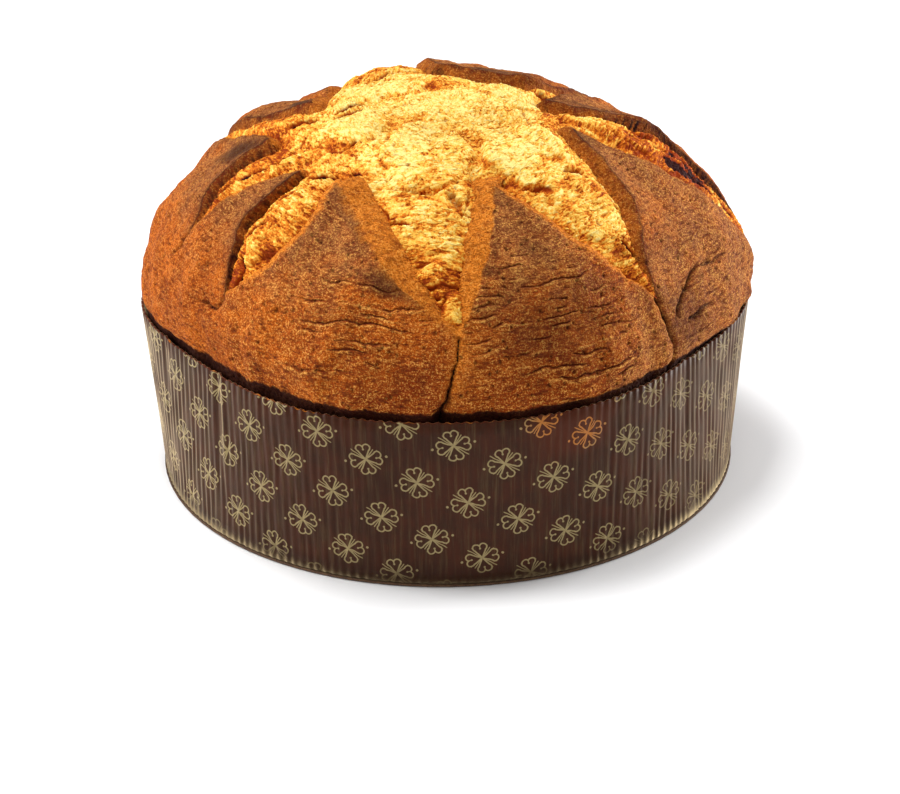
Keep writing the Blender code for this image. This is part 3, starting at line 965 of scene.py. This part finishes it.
def baked(places, band, edge, petalTips):  # how burnt, charred and brown the crust is, and the painted shade low at the front
    near = edge["near"]
    toTip = np.min([gapTo(places, *tip) for tip in petalTips], axis=0)
    reach = gapTo(places)
    wander = layered(places, 14, 51) * 10
    burn = fall(*crustForm["burnReach"], toTip + wander)
    burn = burn * (1 - 0.5 * smooth(96, 118, reach + wander * 0.5))
    burn = np.maximum(burn, 0.85 * smooth(66, 84, places[:, 0] + wander) * (places[:, 1] < 4))
    burn = held(burn * 0.9 + 0.25 * layered(places, 6, 53))
    steep = np.minimum(edge["brown"], 1)
    char = np.exp(-near / 1.3) * steep * 0.8
    char += 0.35 * fall(2, 14, toTip + wander * 0.4)
    for x, y, half, width, degrees, amount in scorches:
        spread = oval(places, x, y, half, width, degrees) + wander * 0.02
        char = np.maximum(char, amount * fall(0.3, 1.2, spread))
    char = np.where(band, 0, held(char))
    full = np.hypot(edge["width"], edge["drop"])
    reached = np.where(band, np.clip(near / full, 0, 1.2), 0)
    brown = steep * (1 - 0.55 * reached) + 0.3 * layered(places, 4, 55) * steep
    # painted shade: darker towards the rim at the front of the loaf
    low = smooth(104, 140, reach) * fall(40, 75, np.abs(places[:, 0] - 8))
    return reached, {"burn": burn, "char": char, "brown": held(brown),
                     "low": 0.55 * low}


def tornTint(places, band, edge):  # where the bare, torn colour starts
    blend = edge["blend"]
    signed = np.where(band, edge["near"], -edge["near"]) + blend * 0.5 * noise(places, 2.5, 59)
    tint = smooth(-blend, 0.4 * blend, signed)
    for crack, side, width, most in (("front", 1, 5, 0.75), ("rightFront", -1, 2, 0.3)):
        line = crackLines[crack]
        here = gapTo(places, *line[0]) < 35
        if here.any():
            gap, point, along = nearestOn(places[here], line)
            beside = (places[here, 0] - point[:, 0]) * side > 0
            glow = np.exp(-gap / (width * np.where(beside, 1, 0.35)))
            glow = glow * fall(most * 0.3, most, along)
            tint[here] = np.maximum(tint[here], glow * 0.9)
    return tint


def hollows(places, edge, reached):  # sponge pits on the torn sides, with painted shade in them and in deep places
    steep = np.minimum(edge["brown"], 1)
    spot, pick = pores(places, 1.9, 57)
    sponge = fall(0.1, 0.34, spot) * (pick > 0.45) * smooth(0.35, 0.9, reached)
    sponge = sponge * (0.3 + 0.7 * steep)
    # sides browner than 1 also get painted shade in streaky holes
    dark = held(edge["brown"] - 1) * 4
    streaks = smooth(-0.25, 0.35, pulled(places, (7, 1.2), 64, 2))
    right = np.where(places[:, 0] > 0, smooth(50, 62, places[:, 0]), 1)
    holeShade = dark * streaks * smooth(0.15, 0.6, reached) * right
    for x, y, width in paintedShadowHoles:
        inside = smooth(1.1, 0.7, gapTo(places, x, y) / width) * smooth(0, 0.3, reached)
        holeShade = np.maximum(holeShade, inside * (0.55 + 0.45 * streaks))
    return sponge, held(np.maximum(0.8 * sponge, holeShade))


def crustPiece(name, sheet, finish):
    places, faces, band, edge = sheetMesh(sheet)
    flat = np.where(band[:, None], edge["foot"], places)
    relief, cleft, crease = crustRelief(flat, np.where(band, 0, edge["near"]), edge["lift"])
    placed = places.copy()
    placed[band], relief[band] = turnedDown(places, band, edge, relief)
    petalTips = [petals[petal]["tip"] for petal in sheet["petals"]]
    reached, readings = baked(places, band, edge, petalTips)
    sponge, holeShade = hollows(places, edge, reached)
    relief[band] -= crustForm["spongeDepth"] * sponge[band]
    wave = 0.9 * noise(places, 8, 61) + 0.7 * noise(places, 2.5, 62)
    middle, half = crustForm["shadedRimSpan"]
    shadedRimSpan = held(1 - np.abs(np.degrees(fromFront(places)) - middle) / half)
    reach = gapTo(places) + wave * (0.4 + shadedRimSpan) + 1.6 * shadedRimSpan
    # painted shade line where the crust meets the paper; the grain raised on it is real relief
    rough = smooth(*crustForm["rimGap"], reach)
    grain, high = crustForm["rimGrain"]
    relief += high * rough * noise(places, grain, 63)
    readings.update({
        "lip": tornTint(places, band, edge), "drawn": drawnRound(places, 40), "crease": crease,
        "cleft": np.where(band, holeShade, np.maximum(cleft, 0.95 * rough)),
    })
    piece = meshPiece(name, onDome(placed, relief), faces, readings, finish)
    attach(piece, "root")
    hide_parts("loaf")
    print(name, len(faces), "triangles")


crust = crustFinish()
for name, sheet in crustSheets.items():
    crustPiece(name, sheet, crust)


# Paper case

case = {
    "height": 62.4,
    "footHeight": 1.1,
    "rimRadius": 105.2,
    "footRadius": 104,
    "thick": 0.9,
    "flutes": 212,
    "perFlute": 8,
    "fluteDepth": 0.30,
    "scallop": 0.55,
    "rows": 14,
    "nicks": ((9, 0.35), (2.6, 0.25)),   # size and depth along the rim
    "sway": (11, 1.2),       # size and amount: of how the flutes wander,
    "unevenFlutes": (7, 0.9),  # how their depth varies,
    "dents": (34, 0.25),     # and how the wall bulges
    "overlap": 0.3,            # how far the glued end stands out,
    "seam": (320, 320.8),    # at the back, in millimetres round the rim from the front
    # bent places: where round the rim, half width and depth
    "folds": ((-91, 1.8, 0.8), (-87.5, 1.5, -0.4), (-128, 2.2, 0.5), (97, 2.5, 0.5)),
}

paperLook = {
    "brown": lit(54, 28, 11),
    "reddish": lit(76, 34, 13),
    "greyed": lit(98, 83, 54),
    "print": lit(160, 142, 98),
    "rawEdge": lit(92, 40, 18),
    "baked": lit(200, 112, 30),
    # dark colour of the inner face, also used for painted shade in the flute troughs and along the
    # foot
    "liner": lit(44, 20, 10),
    "glow": (42, 58),      # the orange place, round and up
    "sheenFade": (50, 80),      # where the print is painted fainter at the right, standing in for the sheen there
    "sheenFadeMost": 0.45,
    "streaks": (0.8, 0.04, 0),  # how fine its streaks are round, and how long up and down
    "fibres": 0.8,
    "clouds": 9,
    "roughness": 0.5,
    "specular": 0.14,
    "bump": 0.06,
    "sheen": 0.76,
    "sheenRoughness": 0.3,
    "sheenTint": lit(255, 226, 174),
}

clover = {
    "tilt": 12,
    "pitch": (29.8, 22.2),     # a full repeat; a second clover stands in the middle of it
    "origin": (-1.7, 41.5),
    "lobe": (4.25, 1.18),      # centre of a heart's lobe, along the petal and beside it
    "lobeRadius": 1.25,
    "lean": 30,              # half the angle of a heart at the clover's middle, degrees
    "line": 0.25,              # half a line's width
    "dotReach": 7.1,
    "dotRadius": 0.45,
    "curlReach": 3.7,
    "curlRadius": 0.36,
    "rayHalf": 0.17,
    "rayReach": 3.75,
}


def cloverMask(finish, u, v):  # one clover round the middle of each repeat
    pitchX, pitchY = clover["pitch"]
    x = (u / pitchX + 100).fract() * pitchX - pitchX / 2
    y = (v / pitchY + 100).fract() * pitchY - pitchY / 2
    a = abs(x).atLeast(abs(y))
    b = abs(x).atMost(abs(y))
    along, beside = clover["lobe"]
    lean = math.radians(clover["lean"])
    lobe = length(a - along, b - beside) - clover["lobeRadius"]
    wedge = (b * math.cos(lean) - a * math.sin(lean)).atLeast(a - along)
    heart = abs(lobe.atMost(wedge))
    heart = (heart - clover["line"]).atLeast(0.3 - a)
    curl = length(a - clover["curlReach"], b) - clover["curlRadius"]
    rays = (abs(a - b) * 0.7 - clover["rayHalf"]).atLeast(a + x * y * 0.03 - clover["rayReach"])
    dots = length(abs(x) - clover["dotReach"], y) - clover["dotRadius"]
    return 1 - heart.atMost(rays).atMost(dots).atMost(curl).step(-0.10, 0.10)


def paperFinish():
    look = paperLook
    finish = Finish("printedPaper")
    roll = finish.reading("roll", "Vector")
    u, v = finish.split(roll)
    inner = finish.reading("inner")
    rim = finish.reading("rawEdge")
    valley = finish.reading("valley")
    cos, sin = math.cos(math.radians(clover["tilt"])), math.sin(math.radians(clover["tilt"]))
    alongU = u * cos + v * sin - clover["origin"][0]
    alongV = v * cos - u * sin - clover["origin"][1]
    pitchX, pitchY = clover["pitch"]
    inked = cloverMask(finish, alongU + pitchX / 2, alongV + pitchY / 2).atLeast(
        cloverMask(finish, alongU, alongV))
    # print painted fainter at the right: painted sheen
    inked = inked * (1 - inner) * (1 - u.step(*look["sheenFade"]) * look["sheenFadeMost"])
    glow = 1 - length((u - look["glow"][0]) * 0.8, v - look["glow"][1]).step(8, 17)
    streakPlace = finish.node("ShaderNodeVectorMath", {"operation": "MULTIPLY"},
                              {0: roll, 1: look["streaks"]})
    streaks = finish.grain(1 / mm, 4, 0.7, streakPlace)
    fibres = finish.grain(look["fibres"], 3, 0.7)
    clouds = finish.grain(look["clouds"], 3, 0.6)
    ink = finish.coated(look, look["print"], (glow * 0.75, "baked"))
    torn = finish.coated(look, look["rawEdge"], (clouds.step(0.56, 0.64), "baked"))
    colour = finish.coated(
        look, look["brown"],
        (clouds.step(0.35, 0.7) * 0.5, "reddish"),
        (streaks.step(0.46, 0.70) * 0.35, "greyed"),
        (fibres.step(0.52, 0.72) * 0.35, "reddish"),
        # painted shade in the flute troughs
        (valley * streaks.step(0.3, 0.6) * 0.35, "liner"),
        (glow * 0.4, "rawEdge"),
        (inked * (0.8 + (fibres - 0.5) * 0.8), ink),
        # painted shade: darker along the foot of the wall
        ((1 - v.step(1, 10)) * 0.75, "liner"),
        (inner, "liner"),
        (rim, torn),
    )
    roughness = look["roughness"] + (fibres - 0.5) * 0.2 - inked * 0.08
    return finish.surface({
        "Base Color": colour, "Roughness": roughness,
        "Normal": finish.bump(fibres, look["bump"], 0.6), "Specular IOR Level": look["specular"],
        "Sheen Weight": look["sheen"], "Sheen Roughness": look["sheenRoughness"],
        "Sheen Tint": look["sheenTint"],
    })


def casePiece(finish):
    columns = case["flutes"] * case["perFlute"]
    angle = np.linspace(-math.pi, math.pi, columns, endpoint=False)
    arc = angle * case["rimRadius"]
    # up the outside, over the rim and down the inside: share of the height, depth, and how proud
    steps = [(share, 0, 0) for share in np.linspace(0, 1, case["rows"])]
    steps += [(1, 0.25, 0.12), (1, 0.75, 0.12)]
    steps += [(share, 1, 0) for share in (1, 0.9, 0.6, 0)]
    ground = joined(arc, np.zeros(columns))
    nicks = sum(noise(ground, size, 101 + i) * depth
                for i, (size, depth) in enumerate(case["nicks"]))
    points, roll, inner, raw, valley = [], [], [], [], []
    mean = case["rimRadius"] * 0.5 + case["footRadius"] * 0.5 + 0.5 * rimWave(angle)
    rolled = running(np.hypot(mean, np.gradient(mean, angle)) * (angle[1] - angle[0]))[:-1]
    rolled -= np.interp(0, angle, rolled)    # along the paper, laid out flat
    (swaySize, sway), (varySize, vary), (dentSize, dent) = [
        case[key] for key in ("sway", "unevenFlutes", "dents")]
    for share, depth, proud in steps:
        top = case["height"] + case["scallop"] / 2 * np.cos(case["flutes"] * angle) + nicks * 0.5
        height = case["footHeight"] + (top - case["footHeight"]) * share + proud
        radius = case["rimRadius"] * share + case["footRadius"] * (1 - share)
        radius = radius + rimWave(angle) * share
        wobble = joined(arc, np.full(columns, share * 30))
        crest = np.cos(case["flutes"] * angle + sway * noise(wobble, swaySize, 103))
        deep = case["fluteDepth"] * (0.8 + vary * noise(wobble, varySize, 104))
        radius = radius + (deep / 2 * (crest - 1)) * (1 - depth * 0.6) - case["thick"] * depth
        radius = radius + dent * noise(wobble, dentSize, 105) * smooth(0.05, 0.5, share)
        radius = radius + case["overlap"] * smooth(*case["seam"], arc) * (1 - depth)
        for middle, half, fold in case["folds"]:
            radius = radius - fold * hill(arc - middle, half) * smooth(0.2, 0.8, share)
        points.append(joined(radius * np.sin(angle), -radius * np.cos(angle), height))
        roll.append(joined(rolled, height, np.zeros(columns)))
        inner.append(np.full(columns, 1 if depth > 0.9 else 0))
        raw.append(np.full(columns, 1 if 0 < depth < 0.9 else 0))
        # how deep in a flute trough, for painted shade
        valley.append(held(0.5 - 0.5 * crest) ** 2)
    count = len(steps)
    index = np.arange(count * columns).reshape(count, columns)
    following = np.roll(index, -1, axis=1)
    below = np.roll(index, -1, axis=0)
    belowNext = np.roll(below, -1, axis=1)
    faces = np.stack([index, following, belowNext, below], axis=-1).reshape(-1, 4)
    faces = np.concatenate([faces[:, [0, 1, 2]], faces[:, [0, 2, 3]]])
    readings = {"roll": np.concatenate(roll), "inner": np.concatenate(inner),
                "rawEdge": np.concatenate(raw), "valley": np.concatenate(valley)}
    piece = meshPiece("caseWall", np.concatenate(points), faces, readings, finish)
    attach(piece, "root")
    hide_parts("case_wall")
    print("caseWall", len(faces), "triangles")


casePiece(paperFinish())


# The card disc is the CAD solid, with this finish on it
cardLook = {
    "dark": lit(66, 44, 28),
    "light": lit(96, 70, 46),
    "fibres": 1.2,
    "roughness": 0.85,
    "bump": 0.08,
}


def cardFinish():
    look = cardLook
    finish = Finish("rawCard")
    fibres = finish.grain(look["fibres"], 4, 0.6)
    colour = finish.blend(fibres.step(0.3, 0.7), look["dark"], look["light"])
    return finish.surface({"Base Color": colour, "Roughness": look["roughness"],
                           "Normal": finish.bump(fibres, look["bump"], 0.6)})


card = cardFinish()
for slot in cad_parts["case_base"].material_slots:
    slot.material = card


# Studio

studio = {
    "cameraRise": 26.74,       # degrees above the table
    "cameraReach": 1,
    "cameraRoll": -0.87,
    "lens": 108.76,
    "aim": (0.00108, 0, 0.01909),
    "floor": lit(246, 246, 247),
    "floorHalf": 4,
    "floorDrop": 0.0002,       # so that it doesn't touch the card
    "sky": 0.5,
}

# Lamps: place, width and height in metres, and power
lamps = {
    "topBox": ((-0.2, 0.05, 1.1), (0.4, 0.35), 9.6),
    "leftBox": ((-0.95, 0.1, 0.3), (0.35, 0.6), 6.3),
    "rightBox": ((0.9, 0.4, 0.22), (0.4, 0.5), 11.5),
    "frontFill": ((-0.3, -1.2, 0.8), (0.8, 0.6), 1.5),
}
lampAim = (0, 0, 0.07)


def studioFloor():
    finish = Finish("floorWhite")
    material = finish.surface({"Base Color": studio["floor"], "Roughness": 0.55})
    mesh = bpy.data.meshes.new("floor")
    half = studio["floorHalf"]
    mesh.from_pydata([(-half, -half, 0), (half, -half, 0), (half, half, 0), (-half, half, 0)],
                     [], [(0, 1, 2, 3)])
    mesh.materials.append(material)
    floor = bpy.data.objects.new("floor", mesh)
    floor.location.z = -studio["floorDrop"]
    bpy.context.scene.collection.objects.link(floor)


def softBox(name, place, size, power):
    lamp = bpy.data.lights.new(name, "AREA")
    lamp.shape = "RECTANGLE"
    lamp.size, lamp.size_y = size
    lamp.energy = power
    box = bpy.data.objects.new(name, lamp)
    box.location = place
    aim = Vector(lampAim) - Vector(place)
    box.rotation_mode = "QUATERNION"
    box.rotation_quaternion = aim.to_track_quat("-Z", "Y")
    bpy.context.scene.collection.objects.link(box)


def studioLights():
    for name, lamp in lamps.items():
        softBox(name, *lamp)
    world = bpy.data.worlds.new("studioAir")
    world.use_nodes = True
    shade = world.node_tree.nodes["Background"]
    shade.inputs["Color"].default_value = (1, 1, 1, 1)
    shade.inputs["Strength"].default_value = studio["sky"]
    bpy.context.scene.world = world
    bpy.context.scene.view_settings.view_transform = "Standard"


def studioCamera():
    rise = math.radians(studio["cameraRise"])
    roll = math.radians(studio["cameraRoll"])
    back = Vector((0, -math.cos(rise), math.sin(rise)))
    side = Vector((1, 0, 0))
    up = back.cross(side)
    right = math.cos(roll) * side + math.sin(roll) * up
    top = -math.sin(roll) * side + math.cos(roll) * up
    camera = bpy.data.cameras.new("photoCamera")
    camera.lens = studio["lens"]
    camera.sensor_width = 36
    camera.clip_start = 0.05
    camera.clip_end = 20
    view = bpy.data.objects.new("photoCamera", camera)
    turn = Matrix((right, top, back)).transposed().to_4x4()
    stand = Vector(studio["aim"]) + back * studio["cameraReach"]
    view.matrix_world = Matrix.Translation(stand) @ turn
    bpy.context.scene.collection.objects.link(view)
    bpy.context.scene.camera = view


studioFloor()
studioLights()
studioCamera()
print("studio ready")
